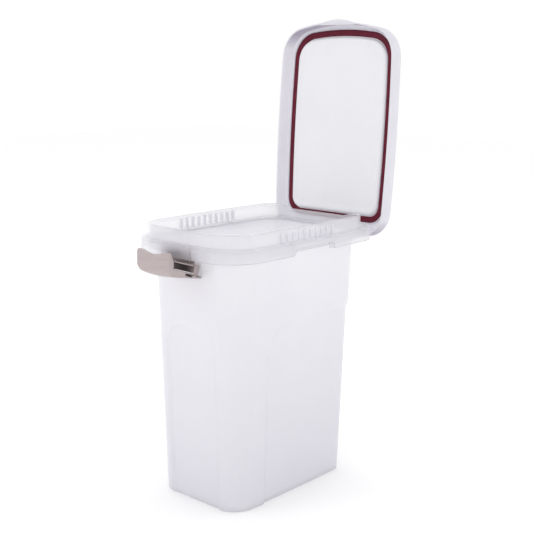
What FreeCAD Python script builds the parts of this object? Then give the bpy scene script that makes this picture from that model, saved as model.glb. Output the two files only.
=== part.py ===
import FreeCAD, Part
import math
import os
import Sketcher

# Flip-top food canister: tapered bin, clipped-on collar, hinged lid with a rubber seal, and a
# swinging latch.  Millimetres.  X is the width, -Y the latch side, +Y the hinge side, +Z up.
# The origin is the centre of the flat base.  The canister rests with its lid and latch open.

DIMENSIONS = {
    # bin
    "base_half_width": 81.0,
    "base_front": 127.0,
    "base_rear": 119.5,
    "base_front_corner": 36.0,
    "base_rear_corner": 20.0,
    "bin_top": 376.0,
    "draft": 1.85,
    "wall": 2.4,
    "floor_thickness": 3.0,
    "bin_flange_depth": 3.0,
    "panel_depth": 3.0,
    "panel_top": 264.0,
    "front_panel_half_width": 46.0,
    "front_panel_corner": 30.0,
    "side_panel_start": -66.0,
    "side_panel_corner": 45.0,
    # shared by the bin, the collar and the lid
    "front_bow": 1100.0,
    "side_bow": 3000.0,
    "fit_gap": 0.3,
    "overrun": 1.0,
    "sink": 0.5,
    # collar
    "rim_half_width": 100.0,
    "rim_front": 147.5,
    "rim_rear": 143.5,
    "rim_front_corner": 45.0,
    "rim_rear_corner": 29.0,
    "rim_top": 400.0,
    "rim_wall": 3.0,
    "rim_bead_width": 6.0,
    "rim_bead_depth": 4.0,
    "rear_dip": 6.0,
    "rear_dip_half_width": 52.0,
    "rear_dip_ramp": 24.0,
    "collar_bottom": 366.0,
    "skirt_half_width": 110.0,
    "skirt_front": 158.0,
    "skirt_rear": 162.0,
    "skirt_front_corner": 54.0,
    "skirt_rear_corner": 39.5,
    "skirt_top": 381.0,
    "skirt_bottom": 362.6,
    "skirt_wall": 2.5,
    "skirt_soft_edge": 1.2,
    "grip_front": -37.0,
    "grip_rear": 49.0,
    "grip_bottom": 371.5,
    "rib_first": -57.0,
    "rib_pitch": 12.2,
    "rib_count": 10.0,
    "rib_thickness": 1.6,
    "rib_depth": 3.0,
    "side_bow_drop": 1.0,
    "rib_top": 395.0,
    "web_setback": 2.0,
    # lid
    "lid_half_width": 110.0,
    "lid_front": 162.5,
    "lid_rear": 162.0,
    "lid_front_corner": 46.0,
    "lid_rear_corner": 40.0,
    "lid_front_bow": 300.0,
    "lid_top": 406.5,
    "lid_bottom": 383.0,
    "lid_wall": 2.6,
    "lid_plate": 3.0,
    "lid_soft_edge": 2.4,
    "lip_front": 166.0,
    "lip_radius": 98.0,
    "lip_thickness": 3.0,
    "seal_front": 154.0,
    "seal_front_bow": 450.0,
    "gasket_inset": 2.0,
    "gasket_width": 9.5,
    "gasket_bottom": 400.3,
    "retainer_bottom": 401.2,
    "retainer_width": 1.3,
    "liner_front": 140.9,
    "liner_bottom": 396.5,
    "liner_wall": 2.0,
    "liner_soft_edge": 4.0,
    "liner_swing_room": 1.5,
    # lid hinge
    "hinge_axis_back": 151.5,
    "hinge_axis_height": 371.3,
    "hinge_centre": 75.0,
    "lug_width": 13.0,
    "lug_radius": 4.5,
    "lug_root": 9.0,
    "lug_side_gap": 0.5,
    "hinge_pin_diameter": 4.0,
    "hinge_pin_length": 22.0,
    "cheek_thickness": 2.5,
    "lid_open_angle": 93.7,
    # latch
    "latch_axis_front": 152.3,
    "latch_axis_height": 370.5,
    "latch_pin_diameter": 3.0,
    "latch_pin_length": 54.0,
    "latch_hub_radius": 4.3,
    "tongue_half_width": 22.0,
    "pocket_half_width": 24.5,
    "boss_half_width": 27.0,
    "boss_front": 160.0,
    "latch_half_width": 32.5,
    "latch_front": 190.0,
    "latch_back": 177.0,
    "latch_inner_face": 166.6,
    "latch_frame_depth": 11.4,
    "latch_foot": 349.0,
    "latch_foot_rise": 5.0,
    "latch_frame_wall": 2.0,
    "latch_window_low": 368.0,
    "latch_window_depth": 6.5,
    "tongue_drop": 12.2,
    "tongue_thickness": 3.4,
    "latch_top": 419.0,
    "latch_top_fall": 10.0,
    "hook_tip": 156.0,
    "hook_gap": 0.6,
    "hook_cheek_drop": 6.0,
    "hook_dip": 5.0,
    "hook_dip_radius": 65.0,
    "latch_wall": 2.5,
    "latch_plan_bow": 200.0,
    "latch_open_angle": 72.0,
    "pin_running_gap": 0.05,
}

doc = FreeCAD.newDocument("food_canister")
sheet = doc.addObject("Spreadsheet::Sheet", "dims")
for row, (alias, number) in enumerate(DIMENSIONS.items(), start=1):
    sheet.set("A%d" % row, alias)
    sheet.set("B%d" % row, str(number))
    sheet.setAlias("B%d" % row, alias)
doc.recompute()


class Size:
    """A length or angle: its present value, and the sheet expression that keeps it up to date."""

    def __init__(self, value, text):
        self.value = value
        self.text = text

    def __add__(self, other):
        other = as_size(other)
        return Size(self.value + other.value, "(%s + %s)" % (self.text, other.text))

    def __sub__(self, other):
        other = as_size(other)
        return Size(self.value - other.value, "(%s - %s)" % (self.text, other.text))

    def __mul__(self, other):
        other = as_size(other)
        return Size(self.value * other.value, "(%s * %s)" % (self.text, other.text))

    def __truediv__(self, other):
        other = as_size(other)
        return Size(self.value / other.value, "(%s / %s)" % (self.text, other.text))

    def __neg__(self):
        return Size(-self.value, "(0 - %s)" % self.text)


def as_size(number):
    return number if isinstance(number, Size) else Size(float(number), "%g" % number)


def dim(alias):
    """The size that the sheet keeps under this alias."""
    return Size(float(getattr(sheet, alias)), "dims.%s" % alias)


def bind(feature, path, size):
    feature.setExpression(path, as_size(size).text)


# ---------------------------------------------------------------- outlines


class Outline:
    """Rounded plan outline: bowed front and sides, straight rear, a radius at each corner."""

    def __init__(self, half_width, front, rear, front_corner, rear_corner, front_bow, side_bow):
        self.half_width = half_width
        self.front = front
        self.rear = rear
        self.front_corner = front_corner
        self.rear_corner = rear_corner
        self.front_bow = front_bow
        self.side_bow = side_bow

    def inset(self, step):
        return Outline(
            self.half_width - step,
            self.front - step,
            self.rear - step,
            self.front_corner - step,
            self.rear_corner - step,
            self.front_bow - step,
            self.side_bow - step,
        )


def corner_centre(side_centre, side_reach, other_centre, other_reach):
    """Centre of a corner arc: side_reach from one arc's centre and other_reach from the other's."""
    gap = other_centre - side_centre
    along = (side_reach**2 - other_reach**2 + gap.Length**2) / (2 * gap.Length)
    across = math.sqrt(side_reach**2 - along**2)
    unit = FreeCAD.Vector(gap).normalize()
    left = FreeCAD.Vector(-unit.y, unit.x, 0)
    crossings = (side_centre + unit * along + left * across,
                 side_centre + unit * along - left * across)
    return min(crossings, key=lambda point: point.y)


def arc_between(centre, radius, start, end):
    """Counter-clockwise arc about centre from the direction of start to the direction of end."""
    circle = Part.Circle(centre, FreeCAD.Vector(0, 0, 1), radius)
    first = math.atan2(start.y - centre.y, start.x - centre.x)
    last = math.atan2(end.y - centre.y, end.x - centre.x)
    if last <= first:
        last += 2 * math.pi
    return Part.ArcOfCircle(circle, first, last)


def mirrored(point):
    return FreeCAD.Vector(-point.x, point.y, 0)


def draw_outline(sketch, outline):
    """Draws the outline counter-clockwise from the front and ties its sizes to the sheet."""
    vector = FreeCAD.Vector
    half_width = outline.half_width.value
    front = outline.front.value
    rear = outline.rear.value
    front_corner = outline.front_corner.value
    rear_corner = outline.rear_corner.value
    front_bow = outline.front_bow.value
    side_bow = outline.side_bow.value
    middle = (rear - front) / 2

    front_centre = vector(0, front_bow - front, 0)
    side_centre = vector(half_width - side_bow, middle, 0)
    front_corner_centre = corner_centre(
        side_centre, side_bow - front_corner, front_centre, front_bow - front_corner)
    rear_y = rear - rear_corner
    rear_x = side_centre.x + math.sqrt((side_bow - rear_corner)**2 - (rear_y - middle)**2)
    rear_corner_centre = vector(rear_x, rear_y, 0)

    def beyond(centre, through, radius):
        return centre + (through - centre).normalize() * radius

    front_join = beyond(front_centre, front_corner_centre, front_bow)
    low_join = beyond(side_centre, front_corner_centre, side_bow)
    high_join = beyond(side_centre, rear_corner_centre, side_bow)
    rear_join = vector(rear_x, rear, 0)

    geometry = [
        arc_between(front_centre, front_bow, mirrored(front_join), front_join),
        arc_between(front_corner_centre, front_corner, front_join, low_join),
        arc_between(side_centre, side_bow, low_join, high_join),
        arc_between(rear_corner_centre, rear_corner, high_join, rear_join),
        Part.LineSegment(rear_join, mirrored(rear_join)),
        arc_between(mirrored(rear_corner_centre), rear_corner,
                    mirrored(rear_join), mirrored(high_join)),
        arc_between(mirrored(side_centre), side_bow, mirrored(high_join), mirrored(low_join)),
        arc_between(mirrored(front_corner_centre), front_corner,
                    mirrored(low_join), mirrored(front_join)),
    ]
    edges = sketch.addGeometry(geometry, False)
    for index, edge in enumerate(edges):
        following = edges[(index + 1) % len(edges)]
        sketch.addConstraint(Sketcher.Constraint("Tangent", edge, 2, following, 1))

    def fix(kind, size, *where):
        number = sketch.addConstraint(Sketcher.Constraint(kind, *where, size.value))
        bind(sketch, "Constraints[%d]" % number, size)

    front_arc, right_front, right_side, right_rear, rear_line = edges[:5]
    left_rear, left_side, left_front = edges[5:]
    centre_point = 3
    origin = -1
    sketch.addConstraint(Sketcher.Constraint("PointOnObject", front_arc, centre_point, -2))
    sketch.addConstraint(Sketcher.Constraint("Horizontal", rear_line))
    fix("Radius", outline.front_bow, front_arc)
    fix("DistanceY", outline.front_bow - outline.front, origin, 1, front_arc, centre_point)
    fix("DistanceY", outline.rear, origin, 1, rear_line, 1)
    for arc in (right_front, left_front):
        fix("Radius", outline.front_corner, arc)
    for arc in (right_rear, left_rear):
        fix("Radius", outline.rear_corner, arc)
    fix("Radius", outline.side_bow, right_side)
    fix("Radius", outline.side_bow, left_side)
    fix("DistanceX", outline.side_bow - outline.half_width, right_side, centre_point, origin, 1)
    fix("DistanceX", outline.side_bow - outline.half_width, origin, 1, left_side, centre_point)
    half_offset = (outline.rear - outline.front) / 2
    for arc in (right_side, left_side):
        fix_coordinate(sketch, "DistanceY", arc, centre_point, half_offset)


# ---------------------------------------------------------------- bodies, sketches and features


def new_body(name):
    body = doc.addObject("PartDesign::Body", name)
    body.Label = name
    return body


def new_sketch(body, plane, offset, name):
    """A sketch on one of the body's own origin planes, moved along that plane's normal."""
    sketch = body.newObject("Sketcher::SketchObject", name)
    support = [item for item in body.Origin.OriginFeatures if item.Role == plane][0]
    sketch.AttachmentSupport = [(support, "")]
    sketch.MapMode = "FlatFace"
    bind(sketch, "AttachmentOffset.Base.z", offset)
    return sketch


def plan_sketch(body, height, outlines, name):
    """A sketch at this height that holds one outline, or two for a ring."""
    sketch = new_sketch(body, "XY_Plane", height, name)
    for outline in outlines:
        draw_outline(sketch, outline)
    return sketch


def draw_polygon(sketch, points):
    """Closed run of straight edges.  Each point is a pair of sizes, tied to the sheet."""
    corners = [FreeCAD.Vector(x.value, y.value, 0) for x, y in points]
    lines = []
    for index, corner in enumerate(corners):
        following = corners[(index + 1) % len(corners)]
        lines.append(sketch.addGeometry(Part.LineSegment(corner, following), False))
    for index, line in enumerate(lines):
        following = lines[(index + 1) % len(lines)]
        sketch.addConstraint(Sketcher.Constraint("Coincident", line, 2, following, 1))
    for line, (x, y) in zip(lines, points):
        fix_coordinate(sketch, "DistanceX", line, 1, x)
        fix_coordinate(sketch, "DistanceY", line, 1, y)


def fix_coordinate(sketch, kind, edge, point, size):
    """Ties one coordinate of a sketch point to its size; a distance is never negative."""
    origin = (-1, 1)
    place = (edge, point)
    if size.value < 0:
        origin, place = place, origin
        size = -size
    number = sketch.addConstraint(Sketcher.Constraint(kind, *origin, *place, size.value))
    bind(sketch, "Constraints[%d]" % number, size)


def draw_rectangle(sketch, left, right, low, high):
    draw_polygon(sketch, [(left, low), (right, low), (right, high), (left, high)])


def draw_circle(sketch, across, up, radius):
    centre = FreeCAD.Vector(across.value, up.value, 0)
    circle = Part.Circle(centre, FreeCAD.Vector(0, 0, 1), radius.value)
    edge = sketch.addGeometry(circle, False)
    number = sketch.addConstraint(Sketcher.Constraint("Radius", edge, radius.value))
    bind(sketch, "Constraints[%d]" % number, radius)
    fix_coordinate(sketch, "DistanceX", edge, 3, across)
    fix_coordinate(sketch, "DistanceY", edge, 3, up)


def pad(body, sketch, length, name, draft=None):
    feature = body.newObject("PartDesign::Pad", name)
    feature.Profile = sketch
    bind(feature, "Length", length)
    if draft is not None:
        bind(feature, "TaperAngle", draft)
    return feature


def pocket(body, sketch, length, name):
    """Cuts along the sketch's own normal."""
    feature = body.newObject("PartDesign::Pocket", name)
    feature.Profile = sketch
    feature.Reversed = True
    bind(feature, "Length", length)
    return feature


def block(body, name, left, right, front, back, low, high, cut=False):
    """Adds a box to the body, or cuts one out of it.  Front and back are along Y."""
    sketch = new_sketch(body, "XY_Plane", low, name + "_sketch")
    draw_rectangle(sketch, left, right, front, back)
    make = pocket if cut else pad
    return make(body, sketch, high - low, name)


def side_profile(body, name, points, left, right, cut=False):
    """Adds or cuts a prism that has these (Y, Z) corners and runs along X from left to right."""
    sketch = new_sketch(body, "YZ_Plane", left, name + "_sketch")
    draw_polygon(sketch, points)
    make = pocket if cut else pad
    return make(body, sketch, right - left, name)


def side_cylinder(body, name, back, height, radius, left, right, cut=False):
    """Adds or cuts a cylinder along X."""
    sketch = new_sketch(body, "YZ_Plane", left, name + "_sketch")
    draw_circle(sketch, back, height, radius)
    make = pocket if cut else pad
    return make(body, sketch, right - left, name)


def boolean(kind, name, base, tool):
    result = doc.addObject(kind, name)
    result.Base = base
    result.Tool = tool
    result.Label = name
    return result


def fillet(body, base, name, radius, wanted):
    """Rounds the edges of the feature that the test picks out."""
    doc.recompute()
    names = ["Edge%d" % number for number, edge in enumerate(base.Shape.Edges, start=1)
             if wanted(edge)]
    feature = body.newObject("PartDesign::Fillet", name)
    feature.Base = (base, names)
    bind(feature, "Radius", radius)
    return feature


def level_edge(height):
    """Test for edges that lie at this height."""
    def test(edge):
        box = edge.BoundBox
        return abs(box.ZMin - height.value) < 0.01 and abs(box.ZMax - height.value) < 0.01
    return test


# ---------------------------------------------------------------- shared outlines

RIM = Outline(
    dim("rim_half_width"), dim("rim_front"), dim("rim_rear"),
    dim("rim_front_corner"), dim("rim_rear_corner"), dim("front_bow"), dim("side_bow"))
BASE = Outline(
    dim("base_half_width"), dim("base_front"), dim("base_rear"),
    dim("base_front_corner"), dim("base_rear_corner"), dim("front_bow"), dim("side_bow"))
SKIRT = Outline(
    dim("skirt_half_width"), dim("skirt_front"), dim("skirt_rear"),
    dim("skirt_front_corner"), dim("skirt_rear_corner"), dim("front_bow"), dim("side_bow"))
SEAL = Outline(
    dim("rim_half_width"), dim("seal_front"), dim("rim_rear"),
    dim("rim_front_corner"), dim("rim_rear_corner"), dim("seal_front_bow"), dim("side_bow"))
LID = Outline(
    dim("lid_half_width"), dim("lid_front"), dim("lid_rear"),
    dim("lid_front_corner"), dim("lid_rear_corner"), dim("lid_front_bow"), dim("side_bow"))

GROUND = as_size(0)
FAR = as_size(200)


def bin_outline_at(height):
    """The bin's outer plan outline at a height above its base."""
    slope = as_size(math.tan(math.radians(DIMENSIONS["draft"])))
    return BASE.inset(-(height * slope))


# ---------------------------------------------------------------- bin


def tapered_block(name, outline, low, high):
    body = new_body(name)
    sketch = plan_sketch(body, low, [outline], name + "_outline")
    pad(body, sketch, high - low, name + "_taper", dim("draft"))
    return body


def panel_prisms(name, margin):
    """Two prisms through the panels: an arch in front, and one that wraps sides and rear."""
    top = dim("panel_top") + margin
    below = -dim("wall") * 4

    front = new_body(name + "_front")
    middle = dim("base_front") / 2
    sketch = new_sketch(front, "XZ_Plane", middle, name + "_front_sketch")
    half = dim("front_panel_half_width") + margin
    draw_rectangle(sketch, -half, half, below, top)
    round_upper_corner(sketch, "left", -half, top, dim("front_panel_corner"))
    round_upper_corner(sketch, "right", half, top, dim("front_panel_corner"))
    pad(front, sketch, FAR - middle, name + "_front_prism")

    wrap = new_body(name + "_wrap")
    sketch = new_sketch(wrap, "YZ_Plane", -FAR, name + "_wrap_sketch")
    start = dim("side_panel_start") - margin
    draw_rectangle(sketch, start, FAR, below, top)
    round_upper_corner(sketch, "left", start, top, dim("side_panel_corner"))
    pad(wrap, sketch, FAR * 2, name + "_wrap_prism")
    return boolean("Part::Fuse", name, front, wrap)


def round_upper_corner(sketch, side, across, high, radius):
    """Rounds one upper corner of a sketched rectangle, whose edges 1, 2, 3 are right, top, left."""
    step = radius.value / 2
    inward = step if side == "left" else -step
    on_top = FreeCAD.Vector(across.value + inward, high.value, 0)
    on_side = FreeCAD.Vector(across.value, high.value - step, 0)
    if side == "left":
        sketch.fillet(2, 3, on_top, on_side, radius.value, True, True)
    else:
        sketch.fillet(1, 2, on_side, on_top, radius.value, True, True)
    arc = max(index for index, item in enumerate(sketch.Geometry)
              if isinstance(item, Part.ArcOfCircle))
    number = sketch.addConstraint(Sketcher.Constraint("Radius", arc, radius.value))
    bind(sketch, "Constraints[%d]" % number, radius)


def build_bin():
    """Outer taper less its panels, less a cavity that follows them one wall thickness in."""
    wall = dim("wall")
    depth = dim("panel_depth")
    floor = dim("floor_thickness")
    top = dim("bin_top")

    outer = tapered_block("bin_outer", BASE, GROUND, top)
    overrun = dim("overrun")
    below = GROUND - overrun
    outer_core = tapered_block("bin_outer_core", bin_outline_at(below).inset(depth), below, top)
    outer_cut = boolean("Part::Cut", "bin_panel_cut", panel_prisms("bin_panels", GROUND), outer_core)
    shell = boolean("Part::Cut", "bin_recessed", outer, outer_cut)

    low = bin_outline_at(floor)
    cavity = tapered_block("bin_cavity", low.inset(wall), floor, top + overrun)
    cavity_core = tapered_block(
        "bin_cavity_core", bin_outline_at(below).inset(wall + depth), below, top + overrun * 2)
    cavity_cut = boolean(
        "Part::Cut", "bin_panel_bulge", panel_prisms("bin_panels_grown", wall), cavity_core)
    hollow = boolean("Part::Cut", "bin_hollow", cavity, cavity_cut)

    flange = new_body("bin_flange")
    sketch = plan_sketch(
        flange, top - dim("bin_flange_depth"),
        [RIM.inset(dim("rim_wall") + dim("fit_gap")), bin_outline_at(top).inset(wall)],
        "bin_flange_outline")
    pad(flange, sketch, dim("bin_flange_depth"), "bin_flange_ring")

    walls = boolean("Part::Cut", "bin_walls", shell, hollow)
    return boolean("Part::Fuse", "bin_body", walls, flange)


# ---------------------------------------------------------------- collar


def build_collar():
    """Clips over the bin's flange: throat wall and bead above, ledge and skirt outside it."""
    body = new_body("collar")
    bottom = dim("collar_bottom")
    top = dim("rim_top")
    ledge = dim("skirt_top")
    skirt_low = dim("skirt_bottom")
    wall = dim("skirt_wall")
    rim_wall = dim("rim_wall")
    bead = dim("rim_bead_width")
    bin_top = dim("bin_top")
    gap = dim("fit_gap")

    sketch = plan_sketch(body, skirt_low, [SKIRT], "skirt_outline")
    skirt = pad(body, sketch, ledge - skirt_low, "skirt")
    fillet(body, skirt, "skirt_top_edge", dim("skirt_soft_edge"), level_edge(ledge))
    sketch = plan_sketch(body, bottom, [RIM], "throat_outline")
    pad(body, sketch, top - bottom, "throat_wall")
    sketch = plan_sketch(body, skirt_low, [SKIRT.inset(wall), RIM], "skirt_hollow_outline")
    pocket(body, sketch, ledge - skirt_low - wall, "skirt_hollow")
    sketch = plan_sketch(body, skirt_low, [RIM], "throat_foot_outline")
    pocket(body, sketch, bottom - skirt_low, "throat_foot")

    build_grips(body)
    build_ribs(body)
    build_latch_seat(body)
    build_hinge_seats(body)

    seat = bin_top + gap
    sketch = plan_sketch(body, bottom, [RIM.inset(rim_wall)], "flange_seat_outline")
    pocket(body, sketch, seat - bottom, "flange_seat")
    throat = bin_outline_at(bin_top).inset(dim("wall"))
    sketch = plan_sketch(body, seat, [throat], "throat_step_outline")
    pocket(body, sketch, wall, "throat_step")
    under_bead = top - dim("rim_bead_depth")
    sketch = plan_sketch(body, seat + wall, [RIM.inset(rim_wall)], "throat_bore_outline")
    pocket(body, sketch, under_bead - seat - wall, "throat_bore")
    sketch = plan_sketch(body, under_bead, [RIM.inset(bead)], "bead_bore_outline")
    pocket(body, sketch, top - under_bead, "bead_bore")
    build_rear_dip(body)
    return body


def build_rear_dip(body):
    """Lowers the throat wall between the hinges, with a ramp up to each rear corner."""
    low = dim("rim_top") - dim("rear_dip")
    high = dim("rim_top") + dim("overrun")
    narrow = dim("rear_dip_half_width")
    wide = narrow + dim("rear_dip_ramp")
    bead = dim("rim_bead_width")
    sketch = new_sketch(body, "XZ_Plane", -dim("rim_rear") - dim("overrun"), "rear_dip_outline")
    draw_polygon(sketch, [(-narrow, low), (narrow, low), (wide, high), (-wide, high)])
    pocket(body, sketch, bead * 2, "rear_dip")


def build_grips(body):
    """Shortens the skirt beside the hands and closes each end of the gap with a web."""
    front = dim("grip_front")
    rear = dim("grip_rear")
    low = dim("skirt_bottom")
    web = dim("cheek_thickness")
    sink = dim("sink")
    under_ledge = dim("skirt_top") - dim("skirt_wall")
    throat_face = dim("rim_half_width") + dim("overrun")
    outside = dim("skirt_half_width") + dim("overrun")
    web_inner = dim("rim_half_width") - sink
    web_outer = dim("skirt_half_width") - dim("web_setback") + sink
    sides = (
        ("right", throat_face, outside, web_inner, web_outer),
        ("left", -outside, -throat_face, -web_outer, -web_inner),
    )
    for side, left, right, web_left, web_right in sides:
        block(body, "grip_" + side, left, right, front, rear, low, dim("grip_bottom"), cut=True)
        for end, start in (("front", front - web), ("rear", rear)):
            block(body, "web_%s_%s" % (side, end), web_left, web_right,
                  start, start + web, low + sink, under_ledge + sink)


def build_ribs(body):
    """Row of upright ribs on the outside of each long throat wall."""
    pitch = dim("rib_pitch")
    thick = dim("rib_thickness")
    base = dim("skirt_top") - dim("sink")
    outer = dim("rim_half_width") - dim("side_bow_drop") + dim("rib_depth")
    inner = dim("rim_half_width") - dim("rim_wall") + dim("sink")
    for number in range(int(DIMENSIONS["rib_count"])):
        start = dim("rib_first") + pitch * number
        for side, left, right in (("right", inner, outer), ("left", -outer, -inner)):
            block(body, "rib_%s_%d" % (side, number + 1), left, right,
                  start, start + thick, base, dim("rib_top"))


def build_latch_seat(body):
    """Boss on the skirt front, hollowed for the latch tongue, with a cheek each side."""
    boss = dim("boss_half_width")
    inside = dim("pocket_half_width")
    low = dim("skirt_bottom")
    ledge = dim("skirt_top")
    face = -dim("boss_front")
    wall = dim("skirt_wall")
    throat = -dim("rim_front")
    overrun = dim("overrun")
    block(body, "latch_boss", -boss, boss, face, throat + dim("rim_wall") / 2, low, ledge)
    block(body, "latch_pocket", -inside, inside, face + wall, throat + dim("rim_wall") + overrun,
          low - overrun, ledge - wall, cut=True)
    side_cylinder(body, "latch_pin_bore", -dim("latch_axis_front"), dim("latch_axis_height"),
                  dim("latch_pin_diameter") / 2, -boss - overrun, boss + overrun, cut=True)


def build_hinge_seats(body):
    """Two slots through the ledge and skirt at the back, each between a pair of bored cheeks."""
    centre = dim("hinge_centre")
    slot = dim("lug_width") / 2 + dim("lug_side_gap")
    block_half = slot + dim("cheek_thickness")
    low = dim("skirt_bottom")
    ledge = dim("skirt_top")
    throat_back = dim("rim_rear")
    back = dim("hinge_axis_back")
    height = dim("hinge_axis_height")
    sink = dim("sink")
    overrun = dim("overrun")
    reach = dim("hinge_pin_length") / 2 + overrun
    for side, middle in (("left", -centre), ("right", centre)):
        block(body, "hinge_block_" + side, middle - block_half, middle + block_half,
              throat_back - dim("rim_wall") / 2, back + dim("lug_radius") + sink,
              low, ledge - overrun)
        block(body, "hinge_slot_" + side, middle - slot, middle + slot,
              throat_back + sink, dim("skirt_rear") + overrun,
              low - overrun, ledge + overrun, cut=True)
        side_cylinder(body, "hinge_bore_" + side, back, height,
                      dim("hinge_pin_diameter") / 2, middle - reach, middle + reach, cut=True)


# ---------------------------------------------------------------- lid, drawn closed


def build_lid_cover():
    """Plate with a deep flange all round, a finger lip in front and two hinge lugs behind."""
    body = new_body("lid_cover")
    low = dim("lid_bottom")
    top = dim("lid_top")
    underside = top - dim("lid_plate")

    sketch = plan_sketch(body, low, [LID], "lid_outline")
    shell = pad(body, sketch, top - low, "lid_shell")
    fillet(body, shell, "lid_soft_edge", dim("lid_soft_edge"), level_edge(top))
    sketch = new_sketch(body, "XY_Plane", low, "lip_outline")
    radius = dim("lip_radius")
    draw_circle(sketch, GROUND, radius - dim("lip_front"), radius)
    pad(body, sketch, dim("lip_thickness"), "lip")
    sketch = plan_sketch(body, low, [LID.inset(dim("lid_wall"))], "lid_hollow_outline")
    pocket(body, sketch, underside - low, "lid_hollow")

    retainer = dim("gasket_inset") - dim("fit_gap")
    retainer_ring = [SEAL.inset(retainer - dim("retainer_width")), SEAL.inset(retainer)]
    retainer_low = dim("retainer_bottom")
    sketch = plan_sketch(body, retainer_low, retainer_ring, "retainer_outline")
    pad(body, sketch, underside + dim("sink") - retainer_low, "retainer")

    for side, middle in (("left", -dim("hinge_centre")), ("right", dim("hinge_centre"))):
        build_lug(body, side, middle - dim("lug_width") / 2, middle + dim("lug_width") / 2)
    return body


def build_lug(body, side, left, right):
    """Arm from the flange's back down to an eye on the hinge axis."""
    back = dim("hinge_axis_back")
    height = dim("hinge_axis_height")
    eye = dim("lug_radius")
    flange = dim("lid_rear") - dim("lid_wall") + dim("sink")
    low = dim("lid_bottom")
    root = dim("lug_root")
    overrun = dim("overrun")
    points = [
        (back - eye, height),
        (back + eye, height),
        (flange, low),
        (flange, low + root),
        (back - eye, low + root / 3),
    ]
    side_profile(body, "lug_" + side, points, left, right)
    side_cylinder(body, "lug_eye_" + side, back, height, eye, left, right)
    side_cylinder(body, "lug_bore_" + side, back, height,
                  dim("hinge_pin_diameter") / 2 + dim("pin_running_gap"),
                  left - overrun, right + overrun, cut=True)


def build_lid_liner():
    """Shallow pan, open towards the lid, that fills the throat."""
    body = new_body("lid_liner")
    low = dim("liner_bottom")
    high = dim("lid_top") - dim("lid_plate")
    wall = dim("liner_wall")
    outline = SEAL.inset(dim("gasket_inset") + dim("gasket_width") + dim("fit_gap"))
    outline.front = dim("liner_front")
    outline.rear = outline.rear - dim("liner_swing_room")
    sketch = plan_sketch(body, low, [outline], "liner_outline")
    soft_edge = dim("liner_soft_edge")
    solid = pad(body, sketch, high - low, "liner_block")
    fillet(body, solid, "liner_soft_edge", soft_edge, level_edge(low))
    inner = outline.inset(soft_edge)
    sketch = plan_sketch(body, low + wall, [inner], "liner_hollow_outline")
    pocket(body, sketch, high - low - wall, "liner_hollow")
    return body


def build_gasket():
    body = new_body("lid_gasket")
    outer = SEAL.inset(dim("gasket_inset"))
    low = dim("gasket_bottom")
    high = dim("lid_top") - dim("lid_plate")
    sketch = plan_sketch(body, low, [outer, outer.inset(dim("gasket_width"))], "gasket_outline")
    pad(body, sketch, high - low, "gasket_ring")
    return body


# ---------------------------------------------------------------- latch, drawn closed


def latch_roof(back):
    """Height of the latch's sloping top at a distance in front of the canister's middle."""
    run = dim("latch_front") - dim("hook_tip")
    return dim("latch_top") - (back - dim("hook_tip")) * (dim("latch_top_fall") / run)


# The latch's front face from foot to roof: how far each point lies behind the foremost line,
# and its share of the height.
LATCH_FRONT_CURVE = (
    (10, 0),
    (6.5, 0),
    (4, 0.28),
    (1.7, 0.6),
    (0, 0.86),
    (1, 0.96),
    (3.5, 1.016),
)


def latch_prism(name, inset):
    """The latch cover's outer block, or the same shape one wall thickness smaller."""
    half = dim("latch_half_width") - inset
    front = -dim("latch_front") + inset
    open_side = -dim("latch_back") + inset
    foot = dim("latch_foot") + inset
    shoulder = latch_roof(dim("latch_front")) - inset
    height = shoulder - foot
    points = [(open_side, foot + dim("latch_foot_rise"))]
    points += [(front + behind, foot + height * share) for behind, share in LATCH_FRONT_CURVE]
    points.append((open_side, latch_roof(dim("latch_back")) - inset))
    side = new_body(name + "_side")
    side_profile(side, name + "_side_prism", points, -half, half)

    plan = new_body(name + "_plan")
    overrun = dim("overrun")
    sketch = new_sketch(plan, "XY_Plane", foot - overrun, name + "_plan_sketch")
    draw_bowed_front(sketch, half, dim("latch_plan_bow"), front, open_side + overrun)
    pad(plan, sketch, height + dim("latch_top_fall"), name + "_plan_prism")
    return boolean("Part::Common", name, side, plan)


def draw_bowed_front(sketch, half, bow, front, back):
    """Straight back and sides, and a front that bows out to the front line on the centre plane."""
    centre_y = front.value + bow.value
    side_y = centre_y - math.sqrt(bow.value**2 - half.value**2)
    vector = FreeCAD.Vector
    centre = vector(0, centre_y, 0)
    left_front = vector(-half.value, side_y, 0)
    right_front = vector(half.value, side_y, 0)
    right_back = vector(half.value, back.value, 0)
    left_back = vector(-half.value, back.value, 0)
    arc = sketch.addGeometry(arc_between(centre, bow.value, left_front, right_front), False)
    right = sketch.addGeometry(Part.LineSegment(right_front, right_back), False)
    rear = sketch.addGeometry(Part.LineSegment(right_back, left_back), False)
    left = sketch.addGeometry(Part.LineSegment(left_back, left_front), False)
    for edge, following in ((arc, right), (right, rear), (rear, left), (left, arc)):
        sketch.addConstraint(Sketcher.Constraint("Coincident", edge, 2, following, 1))
    number = sketch.addConstraint(Sketcher.Constraint("Radius", arc, bow.value))
    bind(sketch, "Constraints[%d]" % number, bow)
    sketch.addConstraint(Sketcher.Constraint("PointOnObject", arc, 3, -2))
    fix_coordinate(sketch, "DistanceY", arc, 3, front + bow)
    fix_coordinate(sketch, "DistanceX", right, 2, half)
    fix_coordinate(sketch, "DistanceY", right, 2, back)
    fix_coordinate(sketch, "DistanceX", rear, 2, -half)
    sketch.addConstraint(Sketcher.Constraint("Vertical", right))
    sketch.addConstraint(Sketcher.Constraint("Vertical", left))
    sketch.addConstraint(Sketcher.Constraint("Horizontal", rear))


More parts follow.
